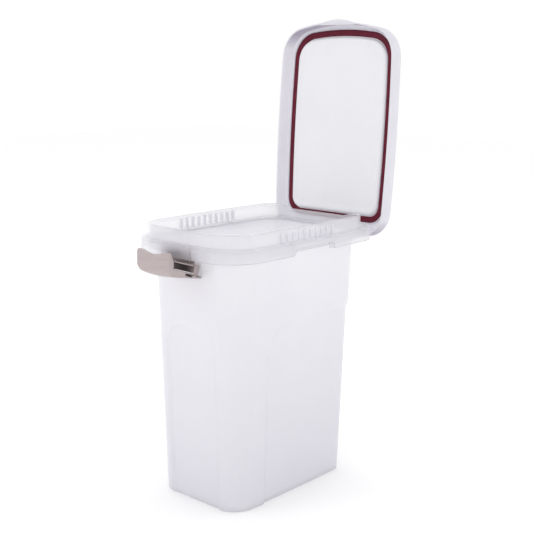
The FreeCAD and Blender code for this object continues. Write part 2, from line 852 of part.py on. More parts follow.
def build_latch_cover():
    """Bowed outer shell, open towards the canister, with a dipped hook along its top."""
    wall = dim("latch_wall")
    outer = latch_prism("latch_outer", GROUND)
    inner = latch_prism("latch_inner", wall)
    shell = boolean("Part::Cut", "latch_shell", outer, inner)

    hook = new_body("latch_hook")
    half = dim("latch_half_width")
    tip = dim("hook_tip")
    root = dim("latch_back") + wall
    low = dim("lid_top") + dim("hook_gap")
    side_profile(hook, "hook_roof", [
        (-tip, dim("latch_top") - wall),
        (-tip, dim("latch_top")),
        (-root, latch_roof(root)),
        (-root, latch_roof(root) - wall),
    ], -half, half)
    cheek = [
        (-tip, dim("latch_top") - wall),
        (-tip, dim("latch_top")),
        (-root, latch_roof(root)),
        (-root, low - dim("hook_cheek_drop")),
        (-dim("latch_inner_face"), low),
    ]
    side_profile(hook, "hook_cheek_left", cheek, -half, wall - half)
    side_profile(hook, "hook_cheek_right", cheek, half - wall, half)
    radius = dim("hook_dip_radius")
    sketch = new_sketch(hook, "XY_Plane", low - dim("overrun"), "hook_dip_outline")
    draw_circle(sketch, GROUND, radius - tip - dim("hook_dip"), radius)
    pocket(hook, sketch, dim("latch_top") - low + dim("overrun") * 2, "hook_dip")
    return boolean("Part::Fuse", "latch_cover", shell, hook)


def build_latch_frame():
    """Open tray behind the cover, windowed at each side, and the tongue on the latch pin."""
    body = new_body("latch_frame")
    half = dim("latch_half_width") - dim("latch_wall") - dim("fit_gap")
    face = -dim("latch_inner_face")
    front = face - dim("latch_frame_depth")
    wall = dim("latch_frame_wall")
    back = -dim("latch_axis_front")
    height = dim("latch_axis_height")
    hub = dim("latch_hub_radius")
    tongue = dim("tongue_half_width")
    foot = height - dim("tongue_drop")
    overrun = dim("overrun")
    clear = dim("latch_wall") + dim("fit_gap") * 4
    roof_back = latch_roof(-face) - clear
    roof_front = latch_roof(-front) - clear
    side_profile(body, "tray", [
        (front, foot - overrun),
        (face, foot - overrun),
        (face, roof_back),
        (front, roof_front),
    ], -half, half)
    side_profile(body, "tray_hollow", [
        (front - overrun, foot + wall),
        (face - wall, foot + wall),
        (face - wall, roof_back - wall),
        (front - overrun, roof_front - wall),
    ], wall - half, half - wall, cut=True)
    block(body, "windows", -half - overrun, half + overrun,
          face - wall - dim("latch_window_depth"), face - wall,
          dim("latch_window_low"), roof_front - wall, cut=True)
    side_profile(body, "tongue_arm", [
        (back - hub, foot),
        (back - hub / 4, foot),
        (back + hub / 2, foot + dim("tongue_thickness")),
        (back + hub * 0.8, height),
        (back - hub, height),
    ], -tongue, tongue)
    block(body, "tongue_foot", -tongue, tongue, face - wall / 2, back - hub + overrun,
          foot, foot + dim("tongue_thickness"))
    side_cylinder(body, "hub", back, height, hub, -tongue, tongue)
    side_cylinder(body, "hub_bore", back, height,
                  dim("latch_pin_diameter") / 2 + dim("pin_running_gap"),
                  -tongue - overrun, tongue + overrun, cut=True)
    return body


# ---------------------------------------------------------------- pins


def build_pin(name, middle, back, height, diameter, length):
    """Plain rod along X."""
    body = new_body(name)
    side_cylinder(body, name + "_rod", back, height, diameter / 2,
                  middle - length / 2, middle + length / 2)
    return body


# ---------------------------------------------------------------- assembly


def swing(part, back, height, degrees):
    """Turns a part about an axis along X."""
    pivot = FreeCAD.Vector(0, back.value, height.value)
    turn = FreeCAD.Rotation(FreeCAD.Vector(1, 0, 0), degrees)
    part.Placement = FreeCAD.Placement(FreeCAD.Vector(), turn, pivot)


bin_body = build_bin()
collar = build_collar()
lid_cover = build_lid_cover()
lid_liner = build_lid_liner()
lid_gasket = build_gasket()
latch_cover = build_latch_cover()
latch_frame = build_latch_frame()
hinge = (dim("hinge_axis_back"), dim("hinge_axis_height"))
latch_axis = (-dim("latch_axis_front"), dim("latch_axis_height"))
pins = [
    build_pin("hinge_pin_left", -dim("hinge_centre"), *hinge,
              dim("hinge_pin_diameter"), dim("hinge_pin_length")),
    build_pin("hinge_pin_right", dim("hinge_centre"), *hinge,
              dim("hinge_pin_diameter"), dim("hinge_pin_length")),
    build_pin("latch_pin", GROUND, *latch_axis,
              dim("latch_pin_diameter"), dim("latch_pin_length")),
]
doc.recompute()

for part in (lid_cover, lid_liner, lid_gasket):
    swing(part, *hinge, -DIMENSIONS["lid_open_angle"])
for part in (latch_cover, latch_frame):
    swing(part, *latch_axis, DIMENSIONS["latch_open_angle"])
doc.recompute()

sub_parts = [bin_body, collar, lid_cover, lid_liner, lid_gasket, latch_cover, latch_frame] + pins
for item in doc.Objects:
    if "Invalid" in item.State or "Error" in item.State:
        raise RuntimeError("%s failed: %s" % (item.Label, item.State))
for part in sub_parts:
    if part.Shape.isNull() or not part.Shape.isValid():
        raise RuntimeError("%s has no valid shape" % part.Label)

os.makedirs("parts", exist_ok=True)
for part in sub_parts:
    part.Shape.exportStep("parts/%s.step" % part.Label)
    print("%-16s %d solid, %.1f cm3" % (part.Label, len(part.Shape.Solids), part.Shape.Volume / 1000))
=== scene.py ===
import math

import bmesh
import bpy
from mathutils import Matrix, Vector


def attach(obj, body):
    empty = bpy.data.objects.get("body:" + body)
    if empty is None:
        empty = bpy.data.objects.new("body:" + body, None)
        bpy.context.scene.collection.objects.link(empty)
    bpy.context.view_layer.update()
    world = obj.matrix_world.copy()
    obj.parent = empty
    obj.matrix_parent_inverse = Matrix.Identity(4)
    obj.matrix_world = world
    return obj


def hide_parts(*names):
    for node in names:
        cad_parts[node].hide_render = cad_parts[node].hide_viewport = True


# Looks for the flip-top food canister.  Shapes are worked out in millimetres in the CAD's frame,
# drawn with the lid and the latch shut, then swung to the open rest pose.

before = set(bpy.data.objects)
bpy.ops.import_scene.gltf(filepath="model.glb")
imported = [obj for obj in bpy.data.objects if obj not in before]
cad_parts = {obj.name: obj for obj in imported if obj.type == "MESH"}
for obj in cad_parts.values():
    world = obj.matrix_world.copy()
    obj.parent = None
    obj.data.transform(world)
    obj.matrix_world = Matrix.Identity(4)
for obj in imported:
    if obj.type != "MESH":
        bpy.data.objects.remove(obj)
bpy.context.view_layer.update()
MM = 0.001

FRONT_BOW = 1100.0
SIDE_BOW = 3000.0

BIN_TOP = 376.0
DRAFT = math.tan(math.radians(1.85))
REAR_LEAN = 3.5
BIN_WALL = 2.4
BIN_FLOOR = 3.0
PANEL_DEPTH = 3.0
PANEL_TOP = 264.0
FRONT_PANEL_HALF = 46.0
FRONT_PANEL_CORNER = 30.0
SIDE_PANEL_START = -66.0
SIDE_PANEL_CORNER = 45.0
PANEL_SLOPE = 2.4

HINGE_AXIS = (151.5, 371.3)
HINGE_X = 75.0
HINGE_PIN_RADIUS = 2.0
LID_OPEN = -93.7
LATCH_AXIS = (-152.3, 370.5)
LATCH_PIN_RADIUS = 1.5
LATCH_OPEN = 72.0
PIN_PLAY = 0.05
SMOOTH_ANGLE = math.radians(40)


# ---------------------------------------------------------------- plan outlines


class Station:
    """A point on a plan outline, with the outline's outward normal there."""

    def __init__(self, x, y, normal_x, normal_y):
        self.x = x
        self.y = y
        self.normal_x = normal_x
        self.normal_y = normal_y

    def inset(self, step):
        return self.x - self.normal_x * step, self.y - self.normal_y * step


def corner_centre(side_centre, side_reach, front_centre, front_reach):
    """Where the front corner's arc is centred: the crossing of two circles nearer the front."""
    gap = front_centre - side_centre
    along = (side_reach**2 - front_reach**2 + gap.length**2) / (2 * gap.length)
    across = math.sqrt(side_reach**2 - along**2)
    unit = gap.normalized()
    left = Vector((-unit.y, unit.x))
    crossings = [side_centre + unit * along + left * across,
                 side_centre + unit * along - left * across]
    return min(crossings, key=lambda point: point.y)


def arc_stations(centre, radius, start, end, count):
    """Stations along a counter-clockwise arc, without its last point."""
    first = math.atan2(start.y - centre.y, start.x - centre.x)
    last = math.atan2(end.y - centre.y, end.x - centre.x)
    if last < first:
        last += 2 * math.pi
    found = []
    for step in range(count):
        angle = first + (last - first) * step / count
        across = math.cos(angle)
        along = math.sin(angle)
        found.append(Station(centre.x + radius * across, centre.y + radius * along, across, along))
    return found


def plan_outline(half_width, front, rear, front_corner, rear_corner, front_bow=FRONT_BOW):
    """Stations of a rounded outline: bowed front and sides, straight rear, radiused corners."""
    middle = (rear - front) / 2
    front_centre = Vector((0, front_bow - front))
    side_centre = Vector((half_width - SIDE_BOW, middle))
    front_corner_centre = corner_centre(
        side_centre, SIDE_BOW - front_corner, front_centre, front_bow - front_corner)
    rear_y = rear - rear_corner
    rear_x = side_centre.x + math.sqrt((SIDE_BOW - rear_corner)**2 - (rear_y - middle)**2)
    rear_centre = Vector((rear_x, rear_y))

    def beyond(centre, through, radius):
        return centre + (through - centre).normalized() * radius

    def flip(point):
        return Vector((-point.x, point.y))

    front_join = beyond(front_centre, front_corner_centre, front_bow)
    low_join = beyond(side_centre, front_corner_centre, SIDE_BOW)
    high_join = beyond(side_centre, rear_centre, SIDE_BOW)
    rear_join = Vector((rear_x, rear))
    found = arc_stations(front_centre, front_bow, flip(front_join), front_join, 44)
    found += arc_stations(front_corner_centre, front_corner, front_join, low_join, 20)
    found += arc_stations(side_centre, SIDE_BOW, low_join, high_join, 80)
    found += arc_stations(rear_centre, rear_corner, high_join, rear_join, 14)
    rear_count = 36
    for step in range(rear_count):
        x = rear_x - 2 * rear_x * step / rear_count
        found.append(Station(x, rear, 0.0, 1.0))
    found += arc_stations(flip(rear_centre), rear_corner, flip(rear_join), flip(high_join), 14)
    found += arc_stations(flip(side_centre), SIDE_BOW, flip(high_join), flip(low_join), 80)
    found += arc_stations(
        flip(front_corner_centre), front_corner, flip(low_join), flip(front_join), 20)
    return found


RIM_HALF = 100.0
BASE = plan_outline(81.0, 127.0, 119.5, 36.0, 20.0)
RIM = plan_outline(RIM_HALF, 147.5, 143.5, 45.0, 29.0)
SKIRT = plan_outline(110.0, 158.0, 162.0, 54.0, 39.5)
SEAL = plan_outline(RIM_HALF, 154.0, 143.5, 45.0, 29.0, front_bow=450.0)
LINER = plan_outline(88.2, 140.9, 130.2, 33.2, 17.2, front_bow=440.0)
LID = plan_outline(110.0, 162.5, 162.0, 46.0, 40.0, front_bow=300.0)


# ---------------------------------------------------------------- meshes from rows of points


def row(outline, inset, height):
    """One closed row of points.  Inset and height are numbers, or functions of the station."""
    points = []
    for station in outline:
        step = inset(station) if callable(inset) else inset
        z = height(station) if callable(height) else height
        x, y = station.inset(step)
        points.append((x, y, z))
    return points


def skin(rows, cap_first=False, cap_last=False, ring=False):
    """Faces between neighbouring rows, with ends capped or the last row joined to the first."""
    count = len(rows[0])
    points = [point for points_in_row in rows for point in points_in_row]
    faces = []
    pairs = [(index, index + 1) for index in range(len(rows) - 1)]
    if ring:
        pairs.append((len(rows) - 1, 0))
    for lower, upper in pairs:
        for index in range(count):
            following = (index + 1) % count
            faces.append((lower * count + index, lower * count + following,
                          upper * count + following, upper * count + index))
    if cap_first:
        faces.append(tuple(reversed(range(count))))
    if cap_last:
        start = (len(rows) - 1) * count
        faces.append(tuple(range(start, start + count)))
    return points, faces


def swing(axis, degrees):
    """Turns about a line along X through (y, z), in millimetres."""
    back, height = axis
    centre = Matrix.Translation((0, back, height))
    return centre @ Matrix.Rotation(math.radians(degrees), 4, "X") @ centre.inverted()


def merged_mesh(name, parts):
    """One mesh from several (points, faces) parts."""
    points = []
    faces = []
    for part_points, part_faces in parts:
        start = len(points)
        points += part_points
        faces += [tuple(start + index for index in face) for face in part_faces]
    mesh = bpy.data.meshes.new(name)
    mesh.from_pydata(points, [], faces)
    return mesh


def make_piece(name, parts, material, body, nodes=(), placed=None):
    """A mesh object from (points, faces) parts in millimetres, riding on a body."""
    mesh = merged_mesh(name, parts)
    placed = placed or Matrix.Identity(4)
    mesh.transform(Matrix.Scale(MM, 4) @ placed)
    mesh.update()
    mesh.shade_smooth()
    mesh.set_sharp_from_angle(angle=SMOOTH_ANGLE)
    mesh.materials.append(material)
    piece = bpy.data.objects.new(name, mesh)
    bpy.context.scene.collection.objects.link(piece)
    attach(piece, body)
    if nodes:
        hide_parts(*nodes)
    return piece


def ease(share):
    """Smooth step from 0 to 1."""
    share = min(1.0, max(0.0, share))
    return share * share * (3 - 2 * share)


def fillet_steps(radius, count=5):
    """(inset, rise) pairs round a quarter circle, from the flat side to the upright one."""
    steps = []
    for step in range(count + 1):
        angle = math.pi / 2 * step / count
        steps.append((radius * (1 - math.sin(angle)), radius * (1 - math.cos(angle))))
    return steps


def shape_of(bm):
    """Takes the points and faces out of a bmesh, in its own units."""
    bm.verts.index_update()
    points = [tuple(vertex.co) for vertex in bm.verts]
    faces = [tuple(vertex.index for vertex in face.verts) for face in bm.faces]
    bm.free()
    return points, faces


def soft_box(low, high, radius):
    """A box between two corners, with its edges rounded."""
    bm = bmesh.new()
    bmesh.ops.create_cube(bm, size=1.0)
    size = Vector(high) - Vector(low)
    middle = (Vector(high) + Vector(low)) / 2
    for vertex in bm.verts:
        vertex.co = Vector(a * b for a, b in zip(vertex.co, size)) + middle
    bmesh.ops.bevel(bm, geom=bm.edges[:], offset=radius, segments=2, profile=0.5, affect="EDGES")
    return shape_of(bm)


def soft_prism(profile, left, right, radius):
    """A prism along X with these (y, z) corners and its sharp edges rounded."""
    bm = bmesh.new()
    face = bm.faces.new([bm.verts.new((left, y, z)) for y, z in profile])
    grown = bmesh.ops.extrude_face_region(bm, geom=[face])
    moved = [item for item in grown["geom"] if isinstance(item, bmesh.types.BMVert)]
    bmesh.ops.translate(bm, verts=moved, vec=(right - left, 0, 0))
    bmesh.ops.recalc_face_normals(bm, faces=bm.faces[:])
    bm.normal_update()
    sharp = [edge for edge in bm.edges if edge.calc_face_angle(0) > SMOOTH_ANGLE]
    bmesh.ops.bevel(bm, geom=sharp, offset=radius, segments=2, profile=0.5, affect="EDGES")
    return shape_of(bm)


def loft(profile_at, stations):
    """Closed solid through the (y, z) loops found at these X stations."""
    bm = bmesh.new()
    loops = []
    for x in stations:
        loops.append([bm.verts.new((x, y, z)) for y, z in profile_at(x)])
    count = len(loops[0])
    for left, right in zip(loops, loops[1:]):
        for index in range(count):
            following = (index + 1) % count
            bm.faces.new((left[index], left[following], right[following], right[index]))
    bm.faces.new(loops[0])
    bm.faces.new(loops[-1])
    bmesh.ops.recalc_face_normals(bm, faces=bm.faces[:])
    return shape_of(bm)


def rod(centre, radius, left, right, count=24):
    """A cylinder along X."""
    bm = bmesh.new()
    bmesh.ops.create_cone(bm, cap_ends=True, segments=count, radius1=radius, radius2=radius,
                          depth=right - left)
    turn = Matrix.Rotation(math.pi / 2, 4, "Y")
    place = Matrix.Translation(((left + right) / 2, centre[0], centre[1]))
    bmesh.ops.transform(bm, matrix=place @ turn, verts=bm.verts[:])
    return shape_of(bm)


def eye_profile(centre, radius, rest, count=9):
    """The lower half of an eye round centre, then the rest of a (y, z) profile."""
    back, height = centre
    half_turn = []
    for step in range(count):
        angle = math.pi * (1 + step / (count - 1))
        half_turn.append((back + radius * math.cos(angle), height + radius * math.sin(angle)))
    return half_turn + rest


def bare_object(name, parts):
    """An object in millimetres that only serves to build another one."""
    item = bpy.data.objects.new(name, merged_mesh(name, parts))
    bpy.context.scene.collection.objects.link(item)
    return item


def boolean_parts(base, operation, tools):
    """The base shape joined with, or cut by, the tool shapes."""
    item = bare_object("work_base", [base])
    tool = bare_object("work_tool", tools)
    step = item.modifiers.new("step", "BOOLEAN")
    step.operation = operation
    step.solver = "EXACT"
    step.use_self = len(tools) > 1
    step.object = tool
    depsgraph = bpy.context.evaluated_depsgraph_get()
    mesh = bpy.data.meshes.new_from_object(item.evaluated_get(depsgraph))
    points = [tuple(vertex.co) for vertex in mesh.vertices]
    faces = [tuple(face.vertices) for face in mesh.polygons]
    bpy.data.objects.remove(item)
    bpy.data.objects.remove(tool)
    return points, faces


# ---------------------------------------------------------------- materials


def new_material(name):
    material = bpy.data.materials.new(name)
    material.use_nodes = True
    return material, material.node_tree, material.node_tree.nodes["Principled BSDF"]


def add_noise(tree, scale, detail, stretch=(1, 1, 1)):
    """Noise in the object's own coordinates, so that its grain has a real size."""
    place = tree.nodes.new("ShaderNodeTexCoord")
    mapping = tree.nodes.new("ShaderNodeMapping")
    mapping.inputs["Scale"].default_value = stretch
    noise = tree.nodes.new("ShaderNodeTexNoise")
    noise.inputs["Scale"].default_value = scale
    noise.inputs["Detail"].default_value = detail
    tree.links.new(place.outputs["Object"], mapping.inputs["Vector"])
    tree.links.new(mapping.outputs["Vector"], noise.inputs["Vector"])
    return noise.outputs["Fac"]


def add_range(tree, value, low, high):
    spread = tree.nodes.new("ShaderNodeMapRange")
    spread.inputs["To Min"].default_value = low
    spread.inputs["To Max"].default_value = high
    tree.links.new(value, spread.inputs["Value"])
    return spread.outputs["Result"]


def add_ramp(tree, value, low_colour, high_colour):
    ramp = tree.nodes.new("ShaderNodeValToRGB")
    ramp.color_ramp.elements[0].color = (*low_colour, 1)
    ramp.color_ramp.elements[1].color = (*high_colour, 1)
    ramp.color_ramp.elements[0].position = 0.3
    ramp.color_ramp.elements[1].position = 0.7
    tree.links.new(value, ramp.inputs["Fac"])
    return ramp.outputs["Color"]


def add_bump(tree, value, shader, strength, distance):
    bump = tree.nodes.new("ShaderNodeBump")
    bump.inputs["Strength"].default_value = strength
    bump.inputs["Distance"].default_value = distance
    tree.links.new(value, bump.inputs["Height"])
    tree.links.new(bump.outputs["Normal"], shader.inputs["Normal"])


def add_edge_mask(tree, width, fullness):
    """0 on open faces, rising to 1 where faces turn sharply: plastic looks denser there, and
    colours mixed in by this mask are painted edge shade.
    """
    bevel = tree.nodes.new("ShaderNodeBevel")
    bevel.samples = 6
    bevel.inputs["Radius"].default_value = width
    geometry = tree.nodes.new("ShaderNodeNewGeometry")
    turned = tree.nodes.new("ShaderNodeVectorMath")
    turned.operation = "DOT_PRODUCT"
    tree.links.new(bevel.outputs["Normal"], turned.inputs[0])
    tree.links.new(geometry.outputs["Normal"], turned.inputs[1])
    either_side = tree.nodes.new("ShaderNodeMath")
    either_side.operation = "ABSOLUTE"
    tree.links.new(turned.outputs["Value"], either_side.inputs[0])
    mask = tree.nodes.new("ShaderNodeMapRange")
    mask.inputs["From Min"].default_value = 1.0
    mask.inputs["From Max"].default_value = fullness
    tree.links.new(either_side.outputs["Value"], mask.inputs["Value"])
    return mask.outputs["Result"]


def mix_colours(tree, share, first, second):
    mix = tree.nodes.new("ShaderNodeMix")
    mix.data_type = "RGBA"
    tree.links.new(share, mix.inputs["Factor"])
    tree.links.new(first, mix.inputs["A"])
    mix.inputs["B"].default_value = (*second, 1)
    return mix.outputs["Result"]


def add_upward(tree, coordinate, low, high):
    """How far the Z of one of the piece's own coordinates has gone from low to high."""
    place = tree.nodes.new("ShaderNodeTexCoord")
    split = tree.nodes.new("ShaderNodeSeparateXYZ")
    spread = tree.nodes.new("ShaderNodeMapRange")
    spread.inputs["From Min"].default_value = low
    spread.inputs["From Max"].default_value = high
    tree.links.new(place.outputs[coordinate], split.inputs["Vector"])
    tree.links.new(split.outputs["Z"], spread.inputs["Value"])
    return spread.outputs["Result"]


def milky_plastic(name, low_colour, high_colour, edge_shade_colour, glow, clear,
                  edge_width=0.0016, low_shade_colour=None, low_shade_span=(0.0, BIN_TOP),
                  eaves_colour=None):
    """Natural polypropylene: satin, lit through from behind, and a little see-through.

    glow is the share of the body that passes light softly, and clear the share seen through.
    The edge colour is painted shade along edges and creases, where the plastic is also less
    see-through.
    The foot colour, if any, is painted shade that darkens a part towards its foot, over its span.
    eaves_colour, if any, is the shaded look of the faces that look down at rest.
    """
    material, tree, shader = new_material(name)
    edges = add_edge_mask(tree, edge_width, 0.9)
    colour = add_ramp(tree, add_noise(tree, 14, 3), low_colour, high_colour)
    # Painted shade: the colour darkens towards the part's foot.
    if low_shade_colour:
        height = add_upward(tree, "Object", low_shade_span[0] * MM, low_shade_span[1] * MM)
        depth = add_range(tree, height, 1.0, 0.0)
        colour = mix_colours(tree, depth, colour, low_shade_colour)
    if eaves_colour:
        facing_down = add_upward(tree, "Normal", -0.3, -0.8)
        colour = mix_colours(tree, facing_down, colour, eaves_colour)
    # Painted shade: darker colour along edges and creases.
    colour = mix_colours(tree, edges, colour, edge_shade_colour)
    tree.links.new(colour, shader.inputs["Base Color"])
    patches = add_noise(tree, 35, 4)
    tree.links.new(add_range(tree, patches, 0.3, 0.42), shader.inputs["Roughness"])
    add_bump(tree, add_noise(tree, 900, 2), shader, 0.05, 0.0002)
    shader.inputs["IOR"].default_value = 1.49

    passing = tree.nodes.new("ShaderNodeBsdfTranslucent")
    tree.links.new(colour, passing.inputs["Color"])
    body = tree.nodes.new("ShaderNodeMixShader")
    body.inputs["Fac"].default_value = glow
    tree.links.new(shader.outputs["BSDF"], body.inputs[1])
    tree.links.new(passing.outputs["BSDF"], body.inputs[2])
    output = tree.nodes["Material Output"]
    if not clear:
        tree.links.new(body.outputs["Shader"], output.inputs["Surface"])
        return material

    window = tree.nodes.new("ShaderNodeBsdfTransparent")
    whole = tree.nodes.new("ShaderNodeMixShader")
    tree.links.new(add_range(tree, edges, clear, clear * 0.6), whole.inputs["Fac"])
    tree.links.new(body.outputs["Shader"], whole.inputs[1])
    tree.links.new(window.outputs["BSDF"], whole.inputs[2])
    tree.links.new(whole.outputs["Shader"], output.inputs["Surface"])
    return material


def seal_rubber():
    """Burgundy silicone with a soft sheen and a fine matt grain."""
    material, tree, shader = new_material("seal_rubber")
    cloud = add_noise(tree, 60, 4)
    colours = add_ramp(tree, cloud, (0.10, 0.006, 0.018), (0.14, 0.010, 0.028))
    tree.links.new(colours, shader.inputs["Base Color"])
    tree.links.new(add_range(tree, cloud, 0.5, 0.66), shader.inputs["Roughness"])
    add_bump(tree, add_noise(tree, 1500, 2), shader, 0.1, 0.0002)
    shader.inputs["IOR"].default_value = 1.4
    shader.inputs["Specular IOR Level"].default_value = 0.3
    return material


def bronze_plastic(name, low_colour, high_colour, metallic, low_rough, high_rough):
    """Grey-bronze coated plastic with faint streaks along X, as from brushing."""
    material, tree, shader = new_material(name)
    streaks = add_noise(tree, 30, 5, stretch=(1, 30, 30))
    colour = add_ramp(tree, streaks, low_colour, high_colour)
    # Painted shade: colour darkened along edges and creases.
    edge_shade = tuple(0.55 * part for part in low_colour)
    colour = mix_colours(tree, add_edge_mask(tree, 0.0018, 0.85), colour, edge_shade)
    tree.links.new(colour, shader.inputs["Base Color"])
    tree.links.new(add_range(tree, streaks, low_rough, high_rough), shader.inputs["Roughness"])
    add_bump(tree, streaks, shader, 0.12, 0.0003)
    shader.inputs["Metallic"].default_value = metallic
    return material


def pin_steel():
    material, tree, shader = new_material("pin_steel")
    turned = add_noise(tree, 40, 4, stretch=(30, 1, 1))
    colours = add_ramp(tree, turned, (0.5, 0.5, 0.51), (0.62, 0.62, 0.63))
    tree.links.new(colours, shader.inputs["Base Color"])
    tree.links.new(add_range(tree, turned, 0.25, 0.4), shader.inputs["Roughness"])
    shader.inputs["Metallic"].default_value = 1.0
    return material


# Edge colours are painted shade along edges and creases; the bin's foot colour is painted shade
# darkening it towards its foot.
BIN_PLASTIC = milky_plastic(
    "bin_plastic", (0.935, 0.93, 0.955), (0.955, 0.95, 0.97), (0.76, 0.76, 0.79),
    glow=0.45, clear=0.2, edge_width=0.003, low_shade_colour=(0.89, 0.885, 0.92))
COLLAR_PLASTIC = milky_plastic(
    "collar_plastic", (0.85, 0.845, 0.875), (0.88, 0.875, 0.905), (0.44, 0.44, 0.48),
    glow=0.5, clear=0.6, edge_width=0.002)
RIB_PLASTIC = milky_plastic(
    "rib_plastic", (0.84, 0.835, 0.87), (0.87, 0.865, 0.90), (0.86, 0.86, 0.89),
    glow=0.6, clear=0.3)
# Painted shade for the latch pocket: lavender grey, going near-black towards its foot.
POCKET_SHADE_PAINT = milky_plastic(
    "pocket_shade_paint", (0.74, 0.71, 0.78), (0.78, 0.75, 0.82), (0.74, 0.71, 0.78),
    glow=0.3, clear=0.3, low_shade_colour=(0.08, 0.07, 0.08), low_shade_span=(364.0, 377.0))
LID_PLASTIC = milky_plastic(
    "lid_plastic", (0.88, 0.87, 0.91), (0.90, 0.89, 0.93), (0.76, 0.75, 0.79),
    glow=0.4, clear=0.1, eaves_colour=(0.55, 0.52, 0.60))
LINER_PLASTIC = milky_plastic(
    "liner_plastic", (0.89, 0.89, 0.915), (0.91, 0.91, 0.935), (0.80, 0.80, 0.83),
    glow=0.15, clear=0.0)
SEAL_RUBBER = seal_rubber()
LATCH_BRONZE = bronze_plastic(
    "latch_bronze", (0.42, 0.355, 0.355), (0.50, 0.43, 0.43), 0.3, 0.3, 0.45)
# Darker copy of the latch bronze for the tray inside the cover: partly a darker inner plastic,
# partly painted shade.
LATCH_INNER_SHADED = bronze_plastic(
    "latch_inner", (0.36, 0.30, 0.295), (0.44, 0.37, 0.365), 0.2, 0.35, 0.5)
# Painted highlight: near-white copy of the latch bronze for the ledges.
LATCH_HIGHLIGHT = bronze_plastic(
    "latch_highlight", (0.90, 0.87, 0.86), (0.94, 0.91, 0.90), 0.0, 0.3, 0.45)
# Painted shade: near-black for the filler deep in the latch's hollow.
LATCH_HOLLOW_SHADE = bronze_plastic(
    "latch_hollow_shade", (0.022, 0.014, 0.011), (0.035, 0.024, 0.019), 0.0, 0.5, 0.7)
LATCH_HOLLOW_SHADE.node_tree.nodes["Principled BSDF"].inputs["Specular IOR Level"].default_value = 0.1
PIN_STEEL = pin_steel()


# ---------------------------------------------------------------- bin


def rounded_reach(across, up, corner):
    """How far inside a rounded corner a point is, from its distances inside the two edges."""
    if across < corner and up < corner:
        return corner - math.hypot(corner - across, corner - up)
    return min(across, up)


def panel_recess(station, height):
    """Depth of the front arch or of the panel that wraps the sides and the rear."""
    up = PANEL_TOP - height
    front = -1000.0
    if station.normal_y < -0.5:
        front = rounded_reach(FRONT_PANEL_HALF - abs(station.x), up, FRONT_PANEL_CORNER)
    wrap = rounded_reach(station.y - SIDE_PANEL_START, up, SIDE_PANEL_CORNER)
    inside = max(front, wrap)
    return PANEL_DEPTH * ease((inside + PANEL_SLOPE) / (2 * PANEL_SLOPE))


def lean(station, height):
    """How far the wall has leaned out at this height; the rear leans more than the rest."""
    rear = REAR_LEAN * max(0.0, station.normal_y) ** 2 * height / BIN_TOP
    return height * DRAFT + rear


def bin_row(height, step):
    """A row of the tapered wall, step millimetres inside its outer face."""
    return row(BASE, lambda s: step - lean(s, height) + panel_recess(s, height), height)


def build_bin():
    """Outer wall, flange, inner wall and floor as one closed skin."""
    heights = [8 + 12 * step for step in range(17)]
    heights += [205 + 2.6 * step for step in range(27)]
    heights += [285, 305, 330, 355]
    rows = [bin_row(0, 8)]
    rows += [bin_row(rise, step) for step, rise in fillet_steps(3.0)]
    rows += [bin_row(height, 0) for height in heights]
    flange_low = BIN_TOP - 3.0
    rows += [
        bin_row(flange_low, 0),
        row(RIM, 3.8, flange_low),
        row(RIM, 3.3, flange_low + 0.5),
        row(RIM, 3.3, BIN_TOP - 0.5),
        row(RIM, 3.8, BIN_TOP),
        bin_row(BIN_TOP, BIN_WALL + 0.6),
        bin_row(BIN_TOP - 0.6, BIN_WALL),
    ]
    rows += [bin_row(height, BIN_WALL) for height in reversed(heights)]
    rows += [bin_row(BIN_FLOOR + rise, BIN_WALL + step)
             for step, rise in reversed(fillet_steps(4.0))]
    rows.append(bin_row(BIN_FLOOR, BIN_WALL + 8))
    parts = [skin(rows, cap_first=True, cap_last=True)]
    return make_piece("bin_shell", parts, BIN_PLASTIC, "canister", ["bin_body"])


# ---------------------------------------------------------------- collar

RIM_TOP = 400.0
LEDGE = 381.0
SKIRT_LOW = 362.6
SKIRT_WALL = 2.5
RIM_WALL = 3.0
REAR_DIP = 6.0
GRIP = (-37.0, 49.0)
GRIP_LOW = 371.5
COLLAR_LOW = 366.0
WEB = 2.5
RIB_COUNT = 10
RIB_START = -57.8
RIB_SPACING = 12.2
RIB_WIDTH = 3.8
RIB_TOP = 395.0


def rim_top(station):
    """The rim's top, lower along the rear between the hinges."""
    if station.normal_y < 0.5:
        return RIM_TOP
    return RIM_TOP - REAR_DIP * (1 - ease((abs(station.x) - 50) / 26))


def skirt_low(station):
    """The skirt's lower edge, raised beside the hands."""
    if abs(station.normal_x) < 0.9:
        return SKIRT_LOW
    inside = min(station.y - GRIP[0], GRIP[1] - station.y)
    return SKIRT_LOW + (GRIP_LOW - SKIRT_LOW) * ease(inside / 3)


def above(height_of, rise):
    return lambda station: height_of(station) + rise


